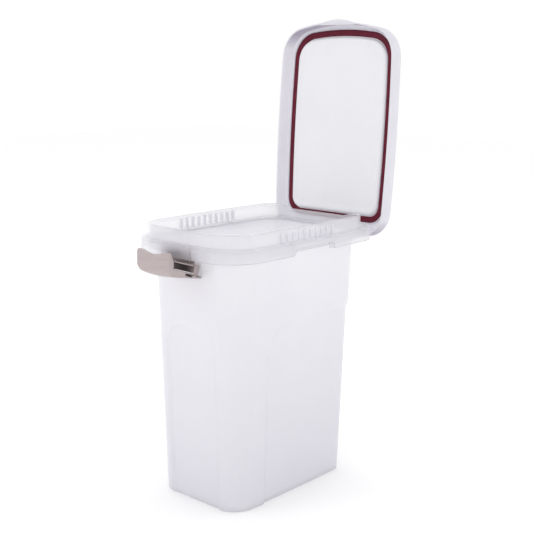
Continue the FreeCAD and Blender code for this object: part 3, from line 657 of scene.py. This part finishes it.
def collar_ring():
    """Cross-section of the collar taken round its plan: throat wall, bead, ledge and skirt."""
    seat = BIN_TOP + 0.3
    step_top = seat + BIN_WALL
    throat = BIN_WALL - BIN_TOP * DRAFT
    under_ledge = LEDGE - SKIRT_WALL
    rows = [
        row(RIM, 0, COLLAR_LOW + 0.4),
        row(RIM, 0, under_ledge),
        row(SKIRT, SKIRT_WALL, under_ledge),
        row(SKIRT, SKIRT_WALL, above(skirt_low, 0.7)),
        row(SKIRT, SKIRT_WALL - 0.7, skirt_low),
        row(SKIRT, 0.7, skirt_low),
        row(SKIRT, 0, above(skirt_low, 0.7)),
    ]
    rows += [row(SKIRT, step, LEDGE - rise) for step, rise in reversed(fillet_steps(2.0))]
    rows += [
        row(RIM, -1.3, LEDGE),
        row(RIM, -0.4, LEDGE + 0.4),
        row(RIM, 0, LEDGE + 1.3),
        row(RIM, 0, above(rim_top, -1.4)),
        row(RIM, 0.4, above(rim_top, -0.4)),
        row(RIM, 1.4, rim_top),
        row(RIM, 4.6, rim_top),
        row(RIM, 5.6, above(rim_top, -0.4)),
        row(RIM, 6.0, above(rim_top, -1.4)),
        row(RIM, 5.8, above(rim_top, -3.2)),
        row(RIM, 3.8, above(rim_top, -4.6)),
        row(RIM, RIM_WALL, above(rim_top, -6.2)),
        row(RIM, RIM_WALL, step_top + 0.8),
        row(RIM, RIM_WALL + 0.8, step_top),
        row(BASE, throat + 0.6, step_top),
        row(BASE, throat, step_top - 0.6),
        row(BASE, throat, seat),
        row(RIM, RIM_WALL, seat),
        row(RIM, RIM_WALL, COLLAR_LOW + 0.4),
        row(RIM, RIM_WALL - 0.4, COLLAR_LOW),
        row(RIM, 0.4, COLLAR_LOW),
    ]
    return skin(rows, ring=True)


def collar_additions():
    """Grip webs, latch boss and hinge blocks."""
    found = []
    for side in (-1, 1):
        for start in (GRIP[0] - WEB, GRIP[1]):
            across = sorted((side * 99.4, side * 108.4))
            found.append(soft_box((across[0], start, SKIRT_LOW + 0.5),
                                  (across[1], start + WEB, LEDGE - 2.0), 0.4))
        across = sorted((side * (HINGE_X - 9.4), side * (HINGE_X + 9.4)))
        found.append(soft_box((across[0], 142.0, SKIRT_LOW + 0.1),
                              (across[1], 156.6, LEDGE - 1), 0.8))
    found.append(soft_box((-27, -160, SKIRT_LOW + 0.1), (27, -146.2, LEDGE - 0.1), 0.8))
    return found


def build_collar():
    """The collar's ring with its blocks and webs added and its seats and pin holes cut."""
    shape = boolean_parts(collar_ring(), "UNION", collar_additions())
    cuts = [soft_box((-24.4, -157.4, 350), (24.4, -143.6, LEDGE - SKIRT_WALL), 0.6)]
    for side in (-1, 1):
        across = sorted((side * (HINGE_X - 7), side * (HINGE_X + 7)))
        cuts.append(soft_box((across[0], 144.1, 350), (across[1], 170, 390), 0.6))
    shape = boolean_parts(shape, "DIFFERENCE", cuts)
    reach = 13
    bores = [rod(HINGE_AXIS, HINGE_PIN_RADIUS, middle - reach, middle + reach)
             for middle in (-HINGE_X, HINGE_X)]
    bores.append(rod(LATCH_AXIS, LATCH_PIN_RADIUS, -28, 28))
    shape = boolean_parts(shape, "DIFFERENCE", bores)
    return make_piece("collar_moulding", [shape], COLLAR_PLASTIC, "canister",
                      ["collar"])


def build_throat_ribs():
    """A row of ribs down each side of the rim, standing just proud of its inside wall."""
    ribs = []
    for side in (-1, 1):
        for number in range(RIB_COUNT):
            start = RIB_START + RIB_SPACING * number
            wall = RIM_HALF - (start + 0.8)**2 / (2 * SIDE_BOW)
            across = sorted((side * (wall - RIM_WALL - 0.1), side * (wall + 1.8)))
            ribs.append(soft_box((across[0], start, LEDGE - 0.5),
                                 (across[1], start + RIB_WIDTH, RIB_TOP), 0.7))
    return make_piece("throat_ribs", ribs, RIB_PLASTIC, "canister")


def build_latch_pocket():
    """Sheet of painted shade buried in the latch seat's front wall, in place of a hinge block
    behind it.
    """
    face = soft_box((-19.0, -158.0, SKIRT_LOW + 0.6), (19.5, -157.6, LEDGE - 1.5), 0.1)
    return make_piece("latch_pocket", [face], POCKET_SHADE_PAINT, "canister")


# ---------------------------------------------------------------- lid


def lid_shell():
    """Plate and flange as one closed skin, with every edge rounded."""
    low = 383.0
    high = 406.5
    plate = 403.5
    wall = 2.6
    rows = [row(LID, 14, plate), row(LID, wall + 2, plate), row(LID, wall + 0.6, plate - 0.6),
            row(LID, wall, plate - 2), row(LID, wall, low + 0.9), row(LID, wall - 0.3, low + 0.3),
            row(LID, wall - 0.9, low), row(LID, 0.9, low), row(LID, 0.3, low + 0.3),
            row(LID, 0, low + 0.9)]
    rows += [row(LID, step, high - rise) for step, rise in reversed(fillet_steps(3.0, 6))]
    rows.append(row(LID, 8, high))
    return skin(rows, cap_first=True, cap_last=True)


def finger_lip():
    """Thin tab that bulges from the flange's lower edge in the middle of the front."""
    radius = 98.0
    centre_y = radius - 166.0
    reach = 33.0
    outline = []
    count = 28
    for step in range(count + 1):
        x = -reach + 2 * reach * step / count
        across = x / radius
        along = -math.sqrt(1 - across * across)
        outline.append(Station(x, centre_y + radius * along, across, along))
    outline += [Station(reach, -157.2, 0.7, 0.7), Station(-reach, -157.2, -0.7, 0.7)]
    rows = [row(outline, 1.0, 383.0), row(outline, 0.3, 383.3), row(outline, 0, 384.0),
            row(outline, 0, 385.0), row(outline, 0.3, 385.7), row(outline, 1.0, 386.0)]
    return skin(rows, cap_first=True, cap_last=True)


def hinge_lug(middle):
    """Arm under the lid's rear with an eye that runs on the hinge pin."""
    profile = eye_profile(HINGE_AXIS, 4.5, [(159.6, 383), (159.6, 392), (147, 386)])
    return soft_prism(profile, middle - 6.5, middle + 6.5, 0.5)


def build_lid():
    """The lid's shell with its finger lip, hinge lugs and the low wall that holds the seal."""
    retainer = skin([row(SEAL, 1.7, 401.2), row(SEAL, 0.4, 401.2), row(SEAL, 0.4, 404),
                     row(SEAL, 1.7, 404)], ring=True)
    additions = [finger_lip(), hinge_lug(-HINGE_X), hinge_lug(HINGE_X), retainer]
    shape = boolean_parts(lid_shell(), "UNION", additions)
    reach = 8
    bores = [rod(HINGE_AXIS, HINGE_PIN_RADIUS + PIN_PLAY, middle - reach, middle + reach)
             for middle in (-HINGE_X, HINGE_X)]
    shape = boolean_parts(shape, "DIFFERENCE", bores)
    return make_piece("lid_moulding", [shape], LID_PLASTIC, "lid", ["lid_cover"],
                      placed=swing(HINGE_AXIS, LID_OPEN))


def build_gasket():
    """Soft ring with a crowned face and a shallow groove along its middle."""
    outer = 2.0
    inner = 11.5
    low = 401.3
    high = 403.5
    face = [(outer, 1.0), (outer + 0.3, 0.4), (outer + 1.2, 0.0), (outer + 3.2, 0.15),
            (outer + 4.4, 0.6), (outer + 5.1, 0.6), (outer + 6.3, 0.15), (inner - 1.2, 0.0),
            (inner - 0.3, 0.4), (inner, 1.0)]
    rows = [row(SEAL, outer, high)]
    rows += [row(SEAL, inset, low + rise) for inset, rise in face]
    rows.append(row(SEAL, inner, high))
    rows.reverse()
    parts = [skin(rows, ring=True)]
    return make_piece("gasket_ring", parts, SEAL_RUBBER, "lid", ["lid_gasket"],
                      placed=swing(HINGE_AXIS, LID_OPEN))


def build_liner():
    """Raised panel with a rounded shoulder and a slightly sunk field."""
    low = 397.7
    high = 403.5
    rows = [row(LINER, 14, low + 0.9), row(LINER, 10.5, low + 0.8),
            row(LINER, 9.0, low + 0.35), row(LINER, 7.5, low)]
    rows += [row(LINER, step, low + rise) for step, rise in fillet_steps(4.0, 8)]
    rows.append(row(LINER, 0, high))
    parts = [skin(rows, cap_first=True, cap_last=True)]
    return make_piece("liner_panel", parts, LINER_PLASTIC, "lid", ["lid_liner"],
                      placed=swing(HINGE_AXIS, LID_OPEN))


# ---------------------------------------------------------------- latch, drawn closed

LATCH_HALF = 32.5
LATCH_FRONT = -190.0
LATCH_BACK = -178.0
LATCH_TIP = -158.4
LATCH_TOP = 418.2
LATCH_FOOT = 349.0
LATCH_BOW = 200.0
LATCH_END = 3.2
LATCH_FALL = 0.29
LATCH_WALL = 2.4
TONGUE_HALF = 21.8
FINGER_DIP = 4.2


def latch_roof(y):
    """Height of the latch's sloping top."""
    return LATCH_TOP + (y - LATCH_TIP) * LATCH_FALL


def latch_bow(x):
    """How far the front face falls back at this distance from the middle."""
    return LATCH_BOW - math.sqrt(LATCH_BOW**2 - x * x)


def finger_dip(x):
    """Depth of the finger hollow in the edge of the roof."""
    return FINGER_DIP * ease((24 - abs(x)) / 20)


def end_drop(x, radius):
    """How far an edge of this radius has curved inwards at the latch's ends."""
    past = max(0.0, abs(x) - (LATCH_HALF - radius))
    return radius - math.sqrt(max(0.0, radius**2 - past * past))


def cover_outline(x):
    """The cover's side view at this X, filled in."""
    bow = latch_bow(x)
    tip = LATCH_TIP - finger_dip(x)
    outline = [(-180.4, 367.4), (-180.2, 352.5), (-180.0, LATCH_FOOT + 0.5), (-180.6, LATCH_FOOT)]
    front = [(-182.8, LATCH_FOOT), (-184.0, LATCH_FOOT + 1.4), (-184.9, 357.0), (-186.1, 366.0),
             (-187.4, 376.0), (-188.5, 385.0), (-189.5, 394.0), (LATCH_FRONT, 399.5),
             (-189.8, 402.5), (-189.0, 405.2), (-187.5, 407.7), (-185.2, latch_roof(-185.2) - 0.4)]
    outline += [(y + bow, z) for y, z in front]
    outline += [(-180.5, latch_roof(-180.5)), (-172.0, latch_roof(-172.0)),
                (tip - 5.0, latch_roof(tip - 5.0)), (tip - 2.2, latch_roof(tip - 2.2) - 0.4),
                (tip - 0.6, latch_roof(tip) - 1.5), (tip, latch_roof(tip) - 3.2),
                (tip - 0.4, latch_roof(tip) - 4.4), (-166.4, 408.0), (LATCH_BACK, 405.4),
                (LATCH_BACK, 368.0)]
    middle = (LATCH_FRONT + LATCH_TIP) / 2
    level = (LATCH_FOOT + LATCH_TOP) / 2
    along = 1 - end_drop(x, LATCH_END) / (middle - LATCH_FRONT)
    upward = 1 - end_drop(x, 2.0) / (LATCH_TOP - level)
    return [(middle + (y - middle) * along, level + (z - level) * upward) for y, z in outline]


def cover_hollow(x):
    """What is taken out of the filled cover: everything inside its walls, open to the back."""
    bow = latch_bow(x) + LATCH_WALL
    hollow = [(-150.0, 352.0), (-179.0, 352.0)]
    front = [(-183.0, 357.0), (-185.7, 367.0), (-188.5, 385.0), (LATCH_FRONT, 398.0),
             (-189.2, 403.0)]
    hollow += [(y + bow, z) for y, z in front]
    hollow += [(-176.0, latch_roof(-176.0) - 2.6), (-166.6, latch_roof(-166.6) - 2.6),
               (-150.0, latch_roof(-166.6) - 2.6)]
    return hollow


def spaced(start, end, count):
    return [start + (end - start) * step / count for step in range(count + 1)]


def build_latch_cover():
    """Bowed shell with rounded ends, a finger hollow and a notch in each end."""
    straight = LATCH_HALF - LATCH_END
    curl = [straight + LATCH_END * math.sin(math.radians(angle)) for angle in range(10, 91, 10)]
    stations = [-x for x in reversed(curl)] + spaced(-straight, straight, 24) + curl
    shape = loft(cover_outline, stations)
    hollow = loft(cover_hollow, spaced(LATCH_WALL - LATCH_HALF, LATCH_HALF - LATCH_WALL, 16))
    notches = []
    for side in (-1, 1):
        across = sorted((side * 28.5, side * 34.0))
        notches.append(soft_box((across[0], -182.4, 367.8), (across[1], -179.4, 381.0), 0.5))
    shape = boolean_parts(shape, "DIFFERENCE", [hollow])
    shape = boolean_parts(shape, "DIFFERENCE", notches)
    return make_piece("latch_shell", [shape], LATCH_BRONZE, "latch",
                      ["latch_cover"], placed=swing(LATCH_AXIS, LATCH_OPEN))


def build_latch_frame():
    """Inner tray: long plate, foot post and the tongue that turns on the pin."""
    half = 31.6
    plate = soft_prism([(-168.0, 357.8), (-166.4, 357.8), (-166.4, 407.6), (-168.0, 408.0)],
                       -half, half, 0.3)
    post = soft_prism([(-179.8, 357.4), (-164.4, 357.6), (-164.4, 366.8), (-179.8, 366.8)],
                      -half, half, 0.6)
    tongue = soft_prism([(-156.6, 358.5), (-153.4, 358.5), (-150.2, 361.9), (-149.0, 370.5),
                         (-150.2, 373.8), (-152.3, 374.7), (-155.2, 373.8), (-156.6, 370.5)],
                        -TONGUE_HALF, TONGUE_HALF, 0.6)
    foot = soft_box((-TONGUE_HALF, -167.2, 358.4), (TONGUE_HALF, -155.5, 361.6), 0.5)
    shape = boolean_parts(plate, "UNION", [post, foot, tongue])
    bore = rod(LATCH_AXIS, LATCH_PIN_RADIUS + PIN_PLAY, -30, 30)
    shape = boolean_parts(shape, "DIFFERENCE", [bore])
    return make_piece("latch_tray", [shape], LATCH_INNER_SHADED, "latch",
                      ["latch_frame"], placed=swing(LATCH_AXIS, LATCH_OPEN))


def build_latch_highlight_ledge():
    """Ledge along the lower edge of the opening in each end, painted pale as a highlight."""
    ledges = []
    for side in (-1, 1):
        across = sorted((side * 28.5, side * 32.2))
        ledges.append(soft_box((across[0], -178.3, 367.2), (across[1], -176.4, 403.0), 0.2))
    return make_piece("latch_highlight_ledge", ledges, LATCH_HIGHLIGHT, "latch",
                      placed=swing(LATCH_AXIS, LATCH_OPEN))


def build_latch_shade_well():
    """Filler painted near-black as painted shade, so that the latch's hollow reads as deep."""
    half = 29.4
    filler = soft_prism([(-178.2, 367.6), (-181.0, 367.8), (-181.4, 398.0), (-179.6, 405.0),
                         (-168.0, 407.6), (-166.9, 406.6), (-178.6, 398.0)], -half, half, 0.3)
    return make_piece("latch_shade_well", [filler], LATCH_HOLLOW_SHADE, "latch",
                      placed=swing(LATCH_AXIS, LATCH_OPEN))


# ---------------------------------------------------------------- carried-over CAD nodes


def dress(node, material):
    """Gives a CAD node that stays its own material."""
    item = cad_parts[node]
    item.data.materials.clear()
    item.data.materials.append(material)


# ---------------------------------------------------------------- stage, light and camera


def build_floor():
    material, _, shader = new_material("floor_white")
    shader.inputs["Base Color"].default_value = (0.99, 0.99, 0.99, 1)
    shader.inputs["Roughness"].default_value = 0.9
    half = 6.0
    mesh = bpy.data.meshes.new("floor")
    corners = [(-half, -half, 0), (half, -half, 0), (half, half, 0), (-half, half, 0)]
    mesh.from_pydata(corners, [], [(0, 1, 2, 3)])
    mesh.materials.append(material)
    floor = bpy.data.objects.new("floor", mesh)
    floor.location.z = -0.0002
    bpy.context.scene.collection.objects.link(floor)


def area_light(name, place, target, size, power):
    lamp = bpy.data.lights.new(name, "AREA")
    lamp.shape = "DISK"
    lamp.size = size
    lamp.energy = power
    light = bpy.data.objects.new(name, lamp)
    light.location = place
    light.rotation_euler = (Vector(target) - Vector(place)).to_track_quat("-Z", "Y").to_euler()
    bpy.context.scene.collection.objects.link(light)


def build_light():
    world = bpy.data.worlds.new("studio")
    world.use_nodes = True
    sky = world.node_tree.nodes["Background"]
    sky.inputs["Color"].default_value = (1.0, 1.0, 1.0, 1)
    sky.inputs["Strength"].default_value = 1.0
    bpy.context.scene.world = world
    middle = (0, 0, 0.35)
    area_light("key", (-1.4, -2.2, 2.2), middle, 1.6, 8)
    area_light("fill", (-2.4, 0.2, 1.0), middle, 1.8, 6)
    area_light("top", (0.2, 0.6, 3.0), middle, 1.6, 8)
    bpy.context.scene.view_settings.view_transform = "Standard"


def build_camera():
    azimuth = math.radians(42.2)
    pitch = math.radians(11.55)
    roll = math.radians(0.21)
    ahead = Vector((-math.sin(azimuth) * math.cos(pitch),
                    math.cos(azimuth) * math.cos(pitch), -math.sin(pitch)))
    level = Vector((math.cos(azimuth), math.sin(azimuth), 0))
    upright = level.cross(ahead)
    right = level * math.cos(roll) + upright * math.sin(roll)
    up = upright * math.cos(roll) - level * math.sin(roll)
    data = bpy.data.cameras.new("camera")
    data.sensor_width = 36.0
    data.lens = 68.97
    camera = bpy.data.objects.new("camera", data)
    turn = Matrix((right, up, -ahead)).transposed().to_4x4()
    camera.matrix_world = Matrix.Translation((1.0026, -1.0812, 0.6291)) @ turn
    bpy.context.scene.collection.objects.link(camera)
    bpy.context.scene.camera = camera


build_bin()
build_collar()
build_throat_ribs()
build_latch_pocket()
build_lid()
build_gasket()
build_liner()
build_latch_cover()
build_latch_frame()
build_latch_highlight_ledge()
build_latch_shade_well()
for pin in ("hinge_pin_left", "hinge_pin_right", "latch_pin"):
    dress(pin, PIN_STEEL)
build_floor()
build_light()
build_camera()
